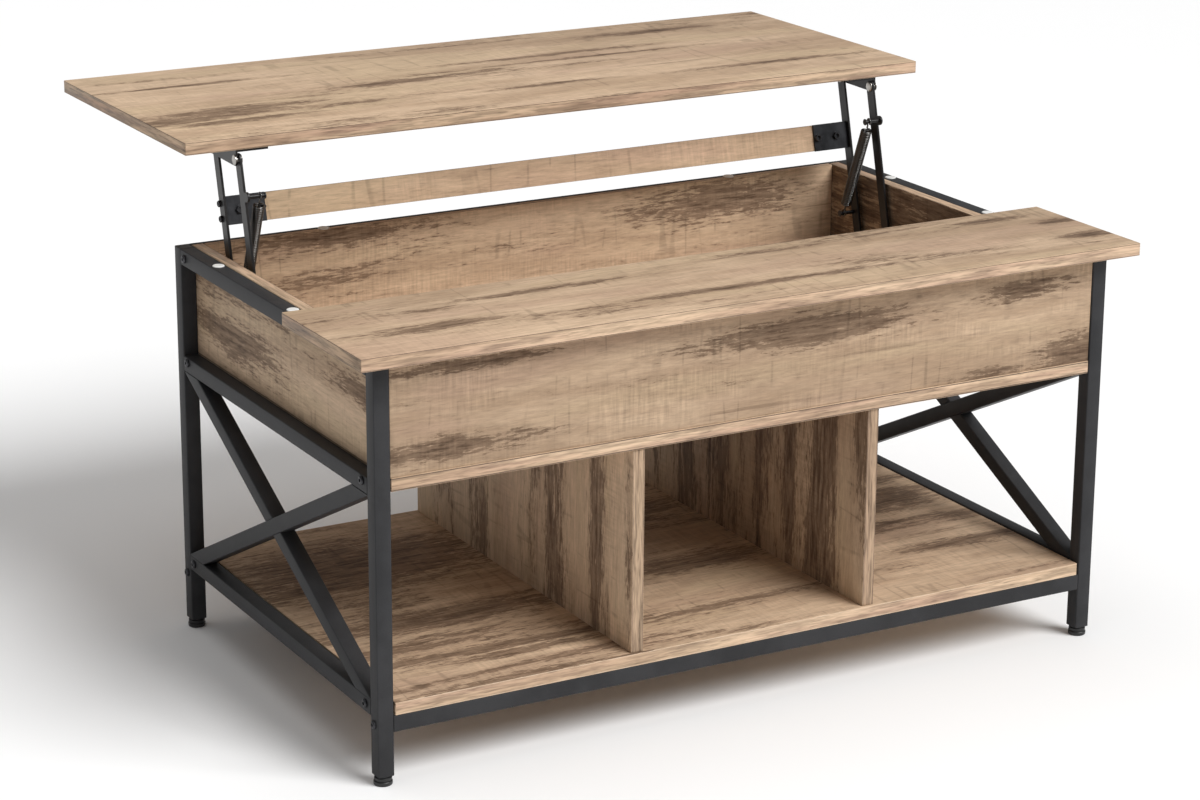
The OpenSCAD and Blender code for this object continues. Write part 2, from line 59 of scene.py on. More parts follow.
# place in metres, turn and tilt in degrees, lens and sensor in millimetres
camera = dict(
    place=(-1.800, -3.241, 1.419), yaw=28.13, pitch=16.34, lens=94.96, sensor=36, shift=(0.0535, -0.05))


def makeCamera():
    data = bpy.data.cameras.new("camera")
    data.lens, data.sensor_width = camera["lens"], camera["sensor"]
    data.shift_x, data.shift_y = camera["shift"]
    obj = bpy.data.objects.new("camera", data)
    obj.location = camera["place"]
    obj.rotation_euler = (radians(90 - camera["pitch"]), 0, -radians(camera["yaw"]))
    scene.collection.objects.link(obj)
    scene.camera = obj


studio = dict(
    floorSize=60, floorColour=(0.95, 0.95, 0.95), floorRoughness=0.9, skyColour=(1, 1, 1), skyStrength=0.26,
    # the sun stands for a broad soft lamp in front, to the right and above
    sunFrom=(4.5, -8.1, 9.6), sunStrength=3.05, sunAngle=34,
    # name, place, size, power in watts
    lamps=[("topLamp", (-1.0, 1.0, 9.5), 7.0, 170), ("fillLamp", (-9.0, -6.0, 3.0), 6.0, 30)],
    target=(0, 0, 0.3))


def aimAt(lamp, place):
    lamp.location = place
    lamp.rotation_euler = (Vector(studio["target"]) - Vector(place)).to_track_quat("-Z", "Y").to_euler()
    scene.collection.objects.link(lamp)


def makeStudio():
    floor = bpy.data.meshes.new("floor")
    half = studio["floorSize"] / 2
    corners = [(-half, -half, 0), (half, -half, 0), (half, half, 0), (-half, half, 0)]
    floor.from_pydata(corners, [], [(0, 1, 2, 3)])
    obj = bpy.data.objects.new("floor", floor)
    scene.collection.objects.link(obj)
    paper = bpy.data.materials.new("palePaper")
    paper.use_nodes = True
    shader = paper.node_tree.nodes["Principled BSDF"]
    shader.inputs["Base Color"].default_value = (*studio["floorColour"], 1)
    shader.inputs["Roughness"].default_value = studio["floorRoughness"]
    floor.materials.append(paper)
    world = bpy.data.worlds.new("studioSky")
    world.use_nodes = True
    sky = world.node_tree.nodes["Background"]
    sky.inputs["Color"].default_value = (*studio["skyColour"], 1)
    sky.inputs["Strength"].default_value = studio["skyStrength"]
    scene.world = world
    sun = bpy.data.lights.new("keySun", "SUN")
    sun.energy, sun.angle = studio["sunStrength"], radians(studio["sunAngle"])
    aimAt(bpy.data.objects.new("keySun", sun), studio["sunFrom"])
    for name, place, size, power in studio["lamps"]:
        light = bpy.data.lights.new(name, "AREA")
        light.shape, light.size, light.energy = "DISK", size, power
        aimAt(bpy.data.objects.new(name, light), place)


makeCamera()
makeStudio()
print("camera and studio ready")


# a node's output socket, with the maths that can be done on it
class Wire:
    def __init__(self, tree, out):
        self.tree, self.out = tree, out

    # settings are set first, then the values or links of the sockets
    def make(self, kind, settings=None, inputs=None, output=0):
        made = self.tree.nodes.new("ShaderNode" + kind)
        for key, value in (settings or {}).items():
            if key == "stops":
                ramp = made.color_ramp.elements
                while len(ramp) < len(value):
                    ramp.new(0.5)
                for stop, (place, colour) in zip(ramp, value):
                    stop.position, stop.color = place, (*colour, 1)
            else:
                setattr(made, key, value)
        for key, value in (inputs or {}).items():
            if isinstance(value, Wire):
                self.tree.links.new(value.out, made.inputs[key])
            else:
                made.inputs[key].default_value = value
        return Wire(self.tree, made.outputs[output])

    def maths(self, operation, first, second=0.0):
        return self.make("Math", {"operation": operation}, {0: first, 1: second})

    def __add__(self, other):
        return self.maths("ADD", self, other)

    def __radd__(self, other):
        return self.maths("ADD", other, self)

    def __sub__(self, other):
        return self.maths("SUBTRACT", self, other)

    def __rsub__(self, other):
        return self.maths("SUBTRACT", other, self)

    def __mul__(self, other):
        return self.maths("MULTIPLY", self, other)

    def __rmul__(self, other):
        return self.maths("MULTIPLY", other, self)

    def __truediv__(self, other):
        return self.maths("DIVIDE", self, other)

    def __rtruediv__(self, other):
        return self.maths("DIVIDE", other, self)

    def __pow__(self, other):
        return self.maths("POWER", self, other)

    def __rpow__(self, other):
        return self.maths("POWER", other, self)

    def __abs__(self):
        return self.maths("ABSOLUTE", self)

    # 0 below low, 1 above high, a soft step between
    def step(self, low, high):
        soft = {"interpolation_type": "SMOOTHSTEP"}
        if low < high:
            return self.make("MapRange", soft, {"Value": self, "From Min": low, "From Max": high})
        return self.make("MapRange", soft, {"Value": self, "From Min": high, "From Max": low,
                                            "To Min": 1.0, "To Max": 0.0})

    def most(self, other):
        return self.maths("MAXIMUM", self, other)

    # the first colour where this wire is 0, the second where it is 1
    def between(self, first, second):
        return self.make("Mix", {"data_type": "RGBA"}, {0: self, 6: first, 7: second}, 2)

    def tint(self, colour, amount):
        return amount.between(self, colour)

    def shade(self, amount):
        return self.make("VectorMath", {"operation": "SCALE"}, {0: self, 3: amount})


# a material with its shader and the object's own coordinates
class Finish:
    def __init__(self, name, roughness=0.5, metallic=0.0, **uniform):
        self.material = bpy.data.materials.new(name)
        self.material.use_nodes = True
        self.tree = self.material.node_tree
        self.shader = self.tree.nodes["Principled BSDF"]
        self.shader.inputs["Roughness"].default_value = roughness
        self.shader.inputs["Metallic"].default_value = metallic
        for key, value in uniform.items():
            self.shader.inputs[key].default_value = value
        self.start = Wire(self.tree, None)
        coord = self.start.make("TexCoord", output=3)  # object coordinates
        parts = [coord.make("SeparateXYZ", None, {0: coord}, n) for n in range(3)]
        self.place, self.x, self.y, self.z = coord, *parts

    # noise over three measures, each with its own count per metre
    def noise(self, a, b, c, counts, detail=3.0, rough=0.5, twist=0.0, offset=0.0):
        parts = {0: a * counts[0] + offset, 1: b * counts[1], 2: c * counts[2]}
        spot = self.start.make("CombineXYZ", None, parts)
        return self.start.make("TexNoise", None, {"Vector": spot, "Scale": 1.0, "Detail": detail,
                                                  "Roughness": rough, "Distortion": twist})

    def plainNoise(self, count, detail=2.0, rough=0.5):
        return self.start.make("TexNoise", None, {"Vector": self.place, "Scale": count, "Detail": detail,
                                                  "Roughness": rough})

    def link(self, colour=None, roughness=None, height=None, lift=0.0002, strength=0.5):
        if colour:
            self.tree.links.new(colour.out, self.shader.inputs["Base Color"])
        if roughness:
            self.tree.links.new(roughness.out, self.shader.inputs["Roughness"])
        if height:
            bump = self.start.make("Bump", None, {"Strength": strength, "Distance": lift, "Height": height})
            self.tree.links.new(bump.out, self.shader.inputs["Normal"])
        return self.material


# colours of the oak laminate, and how strongly each layer of its print shows
oak = dict(
    light=(0.60, 0.438, 0.30, 1), tan=(0.43, 0.30, 0.198, 1), rose=(0.48, 0.325, 0.23, 1),
    straw=(0.54, 0.40, 0.26, 1), stain=(0.17, 0.108, 0.07, 1), deep=(0.07, 0.041, 0.025, 1),
    wash=(0.34, 0.235, 0.155, 1), seam=(0.10, 0.065, 0.042, 1), core=(0.72, 0.58, 0.43, 1),
    roughness=0.52, shine=0.1, rosy=0.55, strawy=0.7, deepened=0.65, threaded=0.5, ticked=0.2,
    grained=0.95, pored=0.16, lift=0.0003, bump=0.4)

# noises of the print: counts a metre along and across the grain, detail, roughness, twist and offset
oakLayers = dict(
    broad=((1.7, 10), 3, 0.55, 0.5, 0.0), mottle=((9, 48), 4, 0.6, 0.2, 31.0),
    hue=((2.6, 13), 2, 0.5, 0.4, 3.1),
    dashes=((60, 330), 3, 0.7, 0.0, 1.9), ragged=((13, 85), 4, 0.6, 0.3, 7.7),
    loose=((1.7, 15), 3, 0.55, 0.7, 11.3), streaky=((20, 190), 4, 0.7, 0.1, 23.0),
    threads=((1.3, 62), 4, 0.6, 0.4, 17.0), gaps=((5, 20), 2, 0.5, 0.0, 2.2),
    fineMarks=((240, 20), 2, 0.65, 0.0, 4.4), contour=((26, 2.6), 1, 0.4, 0.1, 8.8),
    patch=((5.5, 14), 2, 0.5, 0.3, 21.0), broken=((12, 26), 2, 0.5, 0.0, 14.6),
    grainLines=((30, 250), 5, 0.76, 0.1, 6.6), pores=((45, 480), 2, 0.5, 0.0, 9.9))


# grain names the axis along the grain, the one across it and the one through the board;
# stains are (along, across, half length, half width) from the board's low corner, in metres;
# wear is how much of the board loose stains cover, saw how strong its saw marks are,
# tone how light it is; on the front and right side panels the tone, and the right side panel's wear,
# are partly painted shade, and on the rear panel and the batten the tone is partly painted light
def oakFace(name, node, grain, stains, shift, wear=0.25, saw=0.5, tone=1.0):
    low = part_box(node)[0]
    finish = Finish(name, **{"Specular IOR Level": oak["shine"]})
    axes = dict(x=(finish.x, low.x), y=(finish.y, low.y), z=(finish.z, low.z))
    along, across, through = (axes[letter][0] - axes[letter][1] for letter in grain)

    def noise(layer):
        counts, detail, rough, twist, turn = oakLayers[layer]
        return finish.noise(along, across, through, (*counts, counts[1]), detail, rough, twist, shift + turn)

    # ground: patches of light and tan, with rosy and straw tones
    hue = noise("hue")
    ground = (noise("broad") * 0.65 + noise("mottle") * 0.35).step(0.36, 0.62)
    colour = ground.between(oak["tan"], oak["light"])
    colour = colour.tint(oak["rose"], hue.step(0.54, 0.7) * oak["rosy"])
    colour = colour.tint(oak["straw"], hue.step(0.47, 0.32) * oak["strawy"])

    # stains: loose ones and the board's own, with dry-brushed edges
    level = (noise("loose") - (0.66 - wear * 0.35)) * 5.5
    for u, v, halfLength, halfWidth in stains:
        reach = (((along - u) / halfLength) ** 2 + ((across - v) / halfWidth) ** 2) ** 0.5
        level = level.most(1.15 - reach)
    level = level + (noise("ragged") - 0.5) * 1.9 + (noise("dashes") - 0.5) * 2.2
    streaky = noise("streaky")
    washed, stained, deep = level.step(-0.3, 0.35), level.step(0.26, 0.5), level.step(0.55, 1.2)
    colour = colour.tint(oak["wash"], washed * (0.25 + streaky * 0.5))
    colour = colour.tint(oak["stain"], stained * (streaky - 0.5) * 1.4 + stained * 0.76)
    colour = colour.tint(oak["deep"], deep * streaky.step(0.42, 0.6) * oak["deepened"])

    # thin dark streaks along the grain
    threads = noise("threads").step(0.6, 0.72) * noise("gaps").step(0.4, 0.6)
    colour = colour.tint(oak["stain"], threads * oak["threaded"])

    # saw marks across the grain, in patches: fine ones, and ticks along the contours of a noise
    patch = noise("patch")
    sawn = (noise("fineMarks") - 0.5) * (0.1 + patch.step(0.46, 0.6)) * saw
    ticks = abs(noise("contour") - 0.5).step(0.026, 0.006) * patch.step(0.54, 0.44)
    ticks = ticks * noise("broken").step(0.42, 0.55) * oak["ticked"]

    # fine grain and pores
    grainLines = noise("grainLines")
    pores = noise("pores").step(0.58, 0.72)
    relief = (grainLines - 0.5) * oak["grained"] + sawn - ticks - pores * oak["pored"]
    # tone scales the whole board; on some boards it is partly painted light, on others partly painted shade
    colour = colour.shade((1 + relief) * tone)
    rough = oak["roughness"] + (grainLines - 0.5) * 0.22 + stained * 0.06
    height = grainLines * 0.6 + sawn * 0.5 - pores * 0.5 - ticks
    return finish.link(colour, rough, height, oak["lift"], oak["bump"])


# the edge band's grain runs along the edge; counts are as above, and the value for the ends says how much
# darker the band is painted on the board's end faces, a painted shade for ends turned from the light
oakEdge = dict(
    base=((4, 70), 3, 0.55, 0.0), lines=((13, 170), 3, 0.7, 4.0), flecks=((40, 420), 2, 0.6, 9.0),
    tan=((2.2, 30), 2, 0.5, 2.0), twist=0.1, ends=0.2, roughness=0.45, lift=0.0003, bump=0.35)


def oakBand(name, node, shift):
    low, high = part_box(node)
    size = high - low
    finish = Finish(name, **{"Specular IOR Level": oak["shine"]})
    order = sorted(range(3), key=lambda n: size[n])
    across, short, long = [(finish.x, finish.y, finish.z)[n] for n in order]
    normal = finish.start.make("TexCoord", output=1)  # which way the surface faces
    facing = finish.start.make("SeparateXYZ", None, {0: normal}, order[2])
    onEnd = abs(facing).step(0.45, 0.55)
    along = long * (1 - onEnd) + short * onEnd

    def noise(layer):
        counts, detail, rough, turn = oakEdge[layer]
        return finish.noise(along, across, onEnd, (*counts, 3), detail, rough, oakEdge["twist"], shift + turn)

    lines = noise("lines").step(0.34, 0.66)
    flecks = noise("flecks").step(0.52, 0.66)
    colour = noise("base").step(0.35, 0.62).between(oak["rose"], oak["light"])
    colour = colour.tint(oak["tan"], noise("tan").step(0.45, 0.6) * 0.6)
    # the band is painted darker on the board's end faces: painted shade
    colour = colour.shade(0.97 + (lines - 0.5) * 0.55 - flecks * 0.22 - onEnd * oakEdge["ends"])
    rough = oakEdge["roughness"] + (lines - 0.5) * 0.2
    return finish.link(colour, rough, lines - flecks * 0.5, oakEdge["lift"], oakEdge["bump"])


# the thin line between a board's face and its edge band
def oakSeam(name, first, second):
    finish = Finish(name, 0.6)
    worn = finish.plainNoise(90, 3).step(0.3, 0.75)
    return finish.link(worn.between(oak[first], oak[second]), 0.55 + worn * 0.1, worn)


coat = dict(tone=(0.030, 0.030, 0.0318), roughness=0.5, shine=0.18)
lacquer = dict(tone=(0.0115, 0.0105, 0.0105), roughness=0.34, shine=0.3)
dowelWood = dict(dark=(0.56, 0.40, 0.24, 1), light=(0.72, 0.56, 0.37, 1), roughness=0.6)


def darker(tone, amount):
    return (*(c * amount for c in tone), 1)


def powderCoat(name, tone, roughness, shine):
    finish = Finish(name, **{"Specular IOR Level": shine})
    peel = finish.plainNoise(900, 2, 0.5)
    haze = finish.plainNoise(14, 4, 0.6)
    speck = finish.plainNoise(2600, 1, 0.5).step(0.6, 0.72)
    colour = haze.step(0.35, 0.65).between(darker(tone, 0.85), darker(tone, 1.2))
    colour = colour.shade(1 + (peel - 0.5) * 0.5 + speck * 0.35)
    rough = roughness + (haze - 0.5) * 0.16 + (peel - 0.5) * 0.12
    return finish.link(colour, rough, peel + speck * 0.3, 0.00025, 0.28)


# plated or bare metal with fine scratches; tone is its colour, scratch how much it is worn
def metal(name, tone, roughness, scratch=0.3, count=700):
    finish = Finish(name, metallic=1.0)
    cloud = finish.plainNoise(60, 4, 0.6)
    drawn = finish.noise(finish.x, finish.y, finish.z, (count, count * 0.15, count), 3, 0.6)
    colour = cloud.step(0.3, 0.7).between(darker(tone, 0.72), darker(tone, 1))
    colour = colour.shade(1 + (drawn - 0.5) * scratch)
    rough = roughness + (cloud - 0.5) * 0.2 + (drawn - 0.5) * 0.12
    return finish.link(colour, rough, drawn, 0.0001, 0.2)


def plastic(name, tone, roughness):
    finish = Finish(name)
    grain = finish.plainNoise(1500, 2, 0.5)
    cloud = finish.plainNoise(50, 3, 0.5)
    colour = cloud.between(darker(tone, 0.85), darker(tone, 1))
    return finish.link(colour, roughness + (cloud - 0.5) * 0.12, grain, 0.0002, 0.2)


def beech(name):
    finish = Finish(name)
    lines = finish.noise(finish.x, finish.y, finish.z, (700, 40, 60), 4, 0.6)
    colour = lines.step(0.3, 0.7).between(dowelWood["dark"], dowelWood["light"])
    return finish.link(colour, dowelWood["roughness"] + (lines - 0.5) * 0.2, lines, 0.0002, 0.3)


coatBlack = powderCoat("blackPowderCoat", **coat)
armBlack = powderCoat("armLacquer", **lacquer)
boltBlack = metal("blackenedBolt", (0.07, 0.07, 0.075), 0.38, 0.3)
plateBlack = metal("blackenedPlate", (0.055, 0.056, 0.06), 0.4, 0.35, 260)
rivetNickel = metal("dullNickel", (0.47, 0.45, 0.42), 0.32, 0.3)
zincPlate = metal("zincPlate", (0.62, 0.62, 0.58), 0.36, 0.25)
springWire = metal("oiledSpringWire", (0.15, 0.145, 0.14), 0.2, 0.2)
footPlastic = plastic("footPlastic", (0.012, 0.012, 0.012), 0.42)
bumperWhite = plastic("bumperWhite", (0.86, 0.86, 0.84), 0.35)
dowelBeech = beech("beechDowel")
seamDark = oakSeam("darkSeam", "seam", "stain")
seamPale = oakSeam("paleSeam", "light", "core")
print("finishes ready")


# a piece built by shape(bm), riding on a body and standing for CAD nodes
def piece(name, body, materials, shape, replaced=(), sharp=35, ride=True):
    mesh = bpy.data.meshes.new(name)
    bm = bmesh.new()
    shape(bm)
    bmesh.ops.recalc_face_normals(bm, faces=bm.faces)
    bm.to_mesh(mesh)
    bm.free()
    for material in materials:
        mesh.materials.append(material)
    mesh.polygons.foreach_set("use_smooth", [True] * len(mesh.polygons))
    mesh.set_sharp_from_angle(angle=radians(sharp))
    obj = bpy.data.objects.new(name, mesh)
    scene.collection.objects.link(obj)
    if ride:
        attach(obj, body)
    if replaced:
        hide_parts(*replaced)
    return obj


# join loops of equal length with quads; returns the new faces
def skin(bm, loops, closed=True):
    faces = []
    for one, two in zip(loops, loops[1:]):
        count = len(one)
        for n in range(count if closed else count - 1):
            after = (n + 1) % count
            faces.append(bm.faces.new((one[n], one[after], two[after], two[n])))
    return faces


# points of a square with round corners, half its side away from the middle
def roundSquare(halfA, halfB, radius, steps=3):
    points = []
    for turn, (signA, signB) in enumerate(((1, 1), (-1, 1), (-1, -1), (1, -1))):
        for n in range(steps + 1):
            angle = radians(90 * turn + 90 * n / steps)
            points.append((signA * (halfA - radius) + radius * cos(angle),
                           signB * (halfB - radius) + radius * sin(angle)))
    return points


# a frame of three axes with its third one along the given direction
def axesAlong(direction):
    third = Vector(direction).normalized()
    hint = Vector((1, 0, 0)) if abs(third.x) < 0.9 else Vector((0, 0, 1))
    second = third.cross(hint).normalized()
    return second.cross(third), second, third


# turn a profile of (radius, height) round an axis through a point
def lathe(bm, profile, centre, direction, steps=40):
    first, second, third = axesAlong(direction)
    centre = Vector(centre)
    loops = []
    for radius, height in profile:
        spot = centre + third * height
        if radius < 1e-6:
            loops.append([bm.verts.new(spot)])
            continue
        loops.append([bm.verts.new(spot + (first * cos(a) + second * sin(a)) * radius)
                      for a in (2 * pi * n / steps for n in range(steps))])
    for one, two in zip(loops, loops[1:]):
        if len(one) == 1 and len(two) == 1:
            continue
        for n in range(steps):
            after = (n + 1) % steps
            if len(one) == 1:
                bm.faces.new((one[0], two[after], two[n]))
            elif len(two) == 1:
                bm.faces.new((one[n], one[after], two[0]))
            else:
                bm.faces.new((one[n], one[after], two[after], two[n]))
    for end in (loops[0], loops[-1]):
        if len(end) > 1:
            bm.faces.new(end)


# a quarter arc of (radius, height) pairs from (r0, h0) to (r1, h1), bulging outwards
def arc(r0, h0, r1, h1, steps=4):
    return [(r1 + (r0 - r1) * cos(pi / 2 * n / steps), h0 + (h1 - h0) * sin(pi / 2 * n / steps))
            for n in range(steps + 1)]


# a wire through points, with frames carried along it
def wire(bm, points, radius, sides=8):
    points = [Vector(p) for p in points]
    ahead = (points[1] - points[0]).normalized()
    side = axesAlong(ahead)[0]
    loops = []
    for n, point in enumerate(points):
        before, after = points[max(n - 1, 0)], points[min(n + 1, len(points) - 1)]
        turned = (after - before).normalized()
        side = (ahead.rotation_difference(turned) @ side).normalized()
        ahead = turned
        up = ahead.cross(side)
        loops.append([bm.verts.new(point + (side * cos(a) + up * sin(a)) * radius)
                      for a in (2 * pi * k / sides for k in range(sides))])
    skin(bm, loops)
    bm.faces.new(loops[0][::-1])
    bm.faces.new(loops[-1])


# a smooth line through a few points
def smoothLine(points, steps=6):
    points = [Vector(p) for p in points]
    line = []
    for n in range(len(points) - 1):
        a, b, c, d = points[max(n - 1, 0)], points[n], points[n + 1], points[min(n + 2, len(points) - 1)]
        for k in range(steps):
            t = k / steps
            line.append(0.5 * (2 * b + (c - a) * t + (2 * a - 5 * b + 4 * c - d) * t * t
                               + (3 * b - a - 3 * c + d) * t ** 3))
    return line + [points[-1]]


# the separate solids of a CAD node, each as a list of points
def solids(node):
    bm = bmesh.new()
    bm.from_mesh(frame["nodes"][node].data)
    bmesh.ops.remove_doubles(bm, verts=bm.verts, dist=1e-6)
    seen, found = set(), []
    for start in bm.verts:
        if start in seen:
            continue
        seen.add(start)
        heap, points = [start], []
        while heap:
            vert = heap.pop()
            points.append(vert.co.copy())
            for edge in vert.link_edges:
                other = edge.other_vert(vert)
                if other not in seen:
                    seen.add(other)
                    heap.append(other)
        found.append(points)
    bm.free()
    return found


# the middle of a solid's end that points in a direction
def tip(points, direction):
    furthest = max(p.dot(direction) for p in points)
    end = [p for p in points if p.dot(direction) > furthest - 1e-4]
    return sum(end, Vector()) / len(end)


# how far a solid reaches along a direction
def width(points, direction):
    reach = [p.dot(direction) for p in points]
    return max(reach) - min(reach)


# a ring of points round an axis, round or six-sided; radius is to the corners
def ring(bm, centre, axes, radius, height, sixSided=False, steps=36):
    first, second, third = axes
    loop = []
    for n in range(steps):
        angle = 2 * pi * n / steps
        reach = radius
        if sixSided:
            reach = radius * cos(pi / 6) / cos((angle % (pi / 3)) - pi / 6)
        outwards = first * cos(angle) + second * sin(angle)
        loop.append(bm.verts.new(centre + third * height + outwards * reach))
    return loop


# rounding of a board's edges and of its corners
boardEdge = dict(arris=0.0006, corner=0.0012)


# seam is the width of the line between face and edge band, seamFinish its colour
def board(node, grain, body="frame", stains=(), shift=0.0, seam=0.0006, seamFinish=seamDark, **look):
    low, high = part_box(node)
    size = high - low
    thin = [*size].index(min(size))
    axisA, axisB = [n for n in range(3) if n != thin]
    middle = (low + high) / 2
    arris, thick = boardEdge["arris"], size[thin]
    edge = [(arris * (1 - sin(a)), arris * (1 - cos(a))) for a in (0, pi / 4, pi / 2)]
    profile = edge + [(0, arris + seam), (0, thick - arris - seam)] + [(i, thick - h) for i, h in edge[::-1]]
    rowFinish = {2: 2, 3: 1, 4: 2}  # seam, band, seam; every other row is face

    def shape(bm):
        loops = []
        for inset, height in profile:
            loop = []
            for a, b in roundSquare(size[axisA] / 2 - inset, size[axisB] / 2 - inset,
                                    boardEdge["corner"] - inset):
                spot = middle.copy()
                spot[axisA] += a
                spot[axisB] += b
                spot[thin] = low[thin] + height
                loop.append(bm.verts.new(spot))
            loops.append(loop)
        for row, pair in enumerate(zip(loops, loops[1:])):
            for face in skin(bm, pair):
                face.material_index = rowFinish.get(row, 0)
        bm.faces.new(loops[0])
        bm.faces.new(loops[-1])

    face = oakFace("oakFace_" + node, node, grain, stains, shift, **look)
    band = oakBand("oakBand_" + node, node, shift)
    piece(node + "_board", body, [face, band, seamFinish], shape, [node], 40)


boards = dict(
    lift_top=dict(body="lift_top", grain="xyz", shift=1.3, wear=0.2, saw=0.35, stains=[
        (0.13, 0.297, 0.13, 0.007), (0.12, 0.137, 0.13, 0.022), (0.10, 0.082, 0.09, 0.012),
        (0.38, 0.197, 0.15, 0.014), (0.66, 0.225, 0.17, 0.006), (0.60, 0.258, 0.16, 0.008),
        (0.81, 0.337, 0.12, 0.016), (0.84, 0.085, 0.14, 0.010), (0.52, 0.095, 0.10, 0.008)]),
    fixed_top=dict(grain="xyz", shift=5.2, wear=0.2, saw=0.3, stains=[
        (0.12, 0.072, 0.10, 0.016), (0.50, 0.060, 0.27, 0.009), (0.90, 0.170, 0.07, 0.012),
        (0.98, 0.132, 0.035, 0.012), (0.975, 0.06, 0.045, 0.02), (0.30, 0.15, 0.14, 0.008)]),
    # the front panel's tone darkens it, partly for its own wood and partly as painted shade, less light
    # falling on its front than on the tops
    front_panel=dict(grain="xzy", shift=9.1, wear=0.2, saw=0.7, tone=0.84, stains=[
        (0.10, 0.112, 0.12, 0.008), (0.07, 0.022, 0.12, 0.014), (0.515, 0.090, 0.16, 0.021),
        (0.81, 0.100, 0.075, 0.014), (0.89, 0.012, 0.075, 0.026)]),
    # the rear panel's tone lightens it: painted light for its inner face, lit from the front under the lift
    # top
    rear_panel=dict(grain="xzy", shift=13.4, wear=0.28, saw=0.6, tone=1.12, stains=[
        (0.16, 0.118, 0.16, 0.014), (0.70, 0.10, 0.14, 0.03)]),
    side_panel_left=dict(grain="yzx", shift=17.7, wear=0.35, tone=0.98, stains=[(0.40, 0.045, 0.15, 0.028)]),
    # the right side panel's wear and tone darken it partly with its own stains and partly with painted shade
    # for its inner face, shaded inside the box
    side_panel_right=dict(grain="yzx", shift=23.9, wear=0.75, tone=0.75, stains=[(0.15, 0.07, 0.12, 0.03)]),
    box_floor=dict(grain="xyz", shift=29.2, seam=0.0011),
    # the shelf's broadest patches lie towards its rear and darken it there
    shelf=dict(grain="xyz", shift=33.8, wear=0.36, seamFinish=seamPale, stains=[
        (0.14, 0.40, 0.22, 0.10), (0.20, 0.07, 0.13, 0.012), (0.16, 0.20, 0.2, 0.035),
        (0.50, 0.22, 0.13, 0.03), (0.45, 0.42, 0.16, 0.08), (0.78, 0.30, 0.16, 0.05),
        (0.84, 0.13, 0.12, 0.02)]),
    divider_left=dict(grain="zyx", shift=38.5, wear=0.42, tone=1.08, stains=[
        (0.12, 0.19, 0.2, 0.016), (0.12, 0.08, 0.2, 0.02)]),
    divider_right=dict(grain="zyx", shift=43.6, wear=0.6, tone=0.95, stains=[(0.12, 0.16, 0.2, 0.02)]))
for node, values in boards.items():
    board(node, **values)
print("boards done")


tubeShape = dict(wall=0.0015, corner=0.0017, innerCorner=0.0004, endChamfer=0.0003)
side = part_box("leg_front_left")[1].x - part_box("leg_front_left")[0].x  # the tube's outer width


# a hollow square tube between two points, with softened ends
def tubeLoops(bm, start, end, first, second):
    half, corner, chamfer = side / 2, tubeShape["corner"], tubeShape["endChamfer"]
    ahead = (end - start).normalized()
    rings = [(half - tubeShape["wall"], tubeShape["innerCorner"], 0), (half - chamfer, corner, 0),
             (half, corner, chamfer)]

    def square(spot, reach, radius):
        return [bm.verts.new(spot + first * a + second * b) for a, b in roundSquare(reach, reach, radius)]

    loops = [square(start + ahead * rise, reach, radius) for reach, radius, rise in rings]
    loops += [square(end - ahead * rise, reach, radius) for reach, radius, rise in rings[::-1]]
    skin(bm, loops + [loops[0]])


def tubeAlongBox(bm, node):
    low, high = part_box(node)
    size, middle = high - low, (low + high) / 2
    run = [*size].index(max(size))
    start, end = middle.copy(), middle.copy()
    start[run], end[run] = low[run], high[run]
    units = [Vector([float(n == k) for n in range(3)]) for k in range(3) if k != run]
    tubeLoops(bm, start, end, *units)


tubes = [f"leg_{end}_{hand}" for end in ("front", "rear") for hand in ("left", "right")]
tubes += [f"{level}_rail_{hand}" for level in ("top", "mid", "low") for hand in ("left", "right")]
tubes += ["front_rail", "rear_rail"]
for tube in tubes:
    piece(tube + "_tube", "frame", [coatBlack], lambda bm: tubeAlongBox(bm, tube), [tube], 30)


# cut away what lies on the far side of a plane and close the cut
def trim(bm, spot, normal):
    bmesh.ops.bisect_plane(bm, geom=bm.verts[:] + bm.edges[:] + bm.faces[:], dist=1e-7,
                           plane_co=spot, plane_no=normal, clear_outer=True)
    rim = [e for e in bm.edges if e.is_boundary]
    if rim:
        bmesh.ops.holes_fill(bm, edges=rim, sides=0)


# a bar of the cross, trimmed to the bay between the legs and rails
def braceBar(bm, tilt, bay, cuts=()):
    low, high = bay
    middle = (low + high) / 2
    ahead = Vector((0, cos(tilt), sin(tilt)))
    across = Vector((0, -sin(tilt), cos(tilt)))
    reach = (high - low).length
    loops = [[bm.verts.new(middle + ahead * way * reach + Vector((a, 0, 0)) + across * b)
              for a, b in roundSquare(side / 2, side / 2, tubeShape["corner"])] for way in (-1, 1)]
    skin(bm, loops)
    bm.faces.new(loops[0])
    bm.faces.new(loops[1])
    for spot, normal in ((low, (0, -1, 0)), (low, (0, 0, -1)), (high, (0, 1, 0)), (high, (0, 0, 1)), *cuts):
        trim(bm, spot, normal)


def braces():
    for hand in ("left", "right"):
        legLow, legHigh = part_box(f"leg_front_{hand}")
        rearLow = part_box(f"leg_rear_{hand}")[0]
        lowTop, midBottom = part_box(f"low_rail_{hand}")[1].z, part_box(f"mid_rail_{hand}")[0].z
        low = Vector((legLow.x, legHigh.y, lowTop))
        high = Vector((legHigh.x, rearLow.y, midBottom))
        middle = (low + high) / 2
        low.x = high.x = middle.x
        tilt = atan2(high.z - low.z + side, high.y - low.y)
        piece(f"brace_{hand}_bar", "frame", [coatBlack],
              lambda bm: braceBar(bm, -tilt, (low, high)), [f"brace_{hand}"], 30)
        normal = Vector((0, sin(tilt), cos(tilt)))
        for part, way in (("upper", 1), ("lower", -1)):
            cut = (middle + normal * way * side / 2, -normal * way)
            piece(f"half_brace_{hand}_{part}", "frame", [coatBlack],
                  lambda bm: braceBar(bm, tilt, (low, high), [cut]), [f"half_brace_{hand}"], 30)


braces()

weld = dict(radius=0.0011, ripple=0.0022, depth=0.16, margin=0.001, steps=4, sides=10)


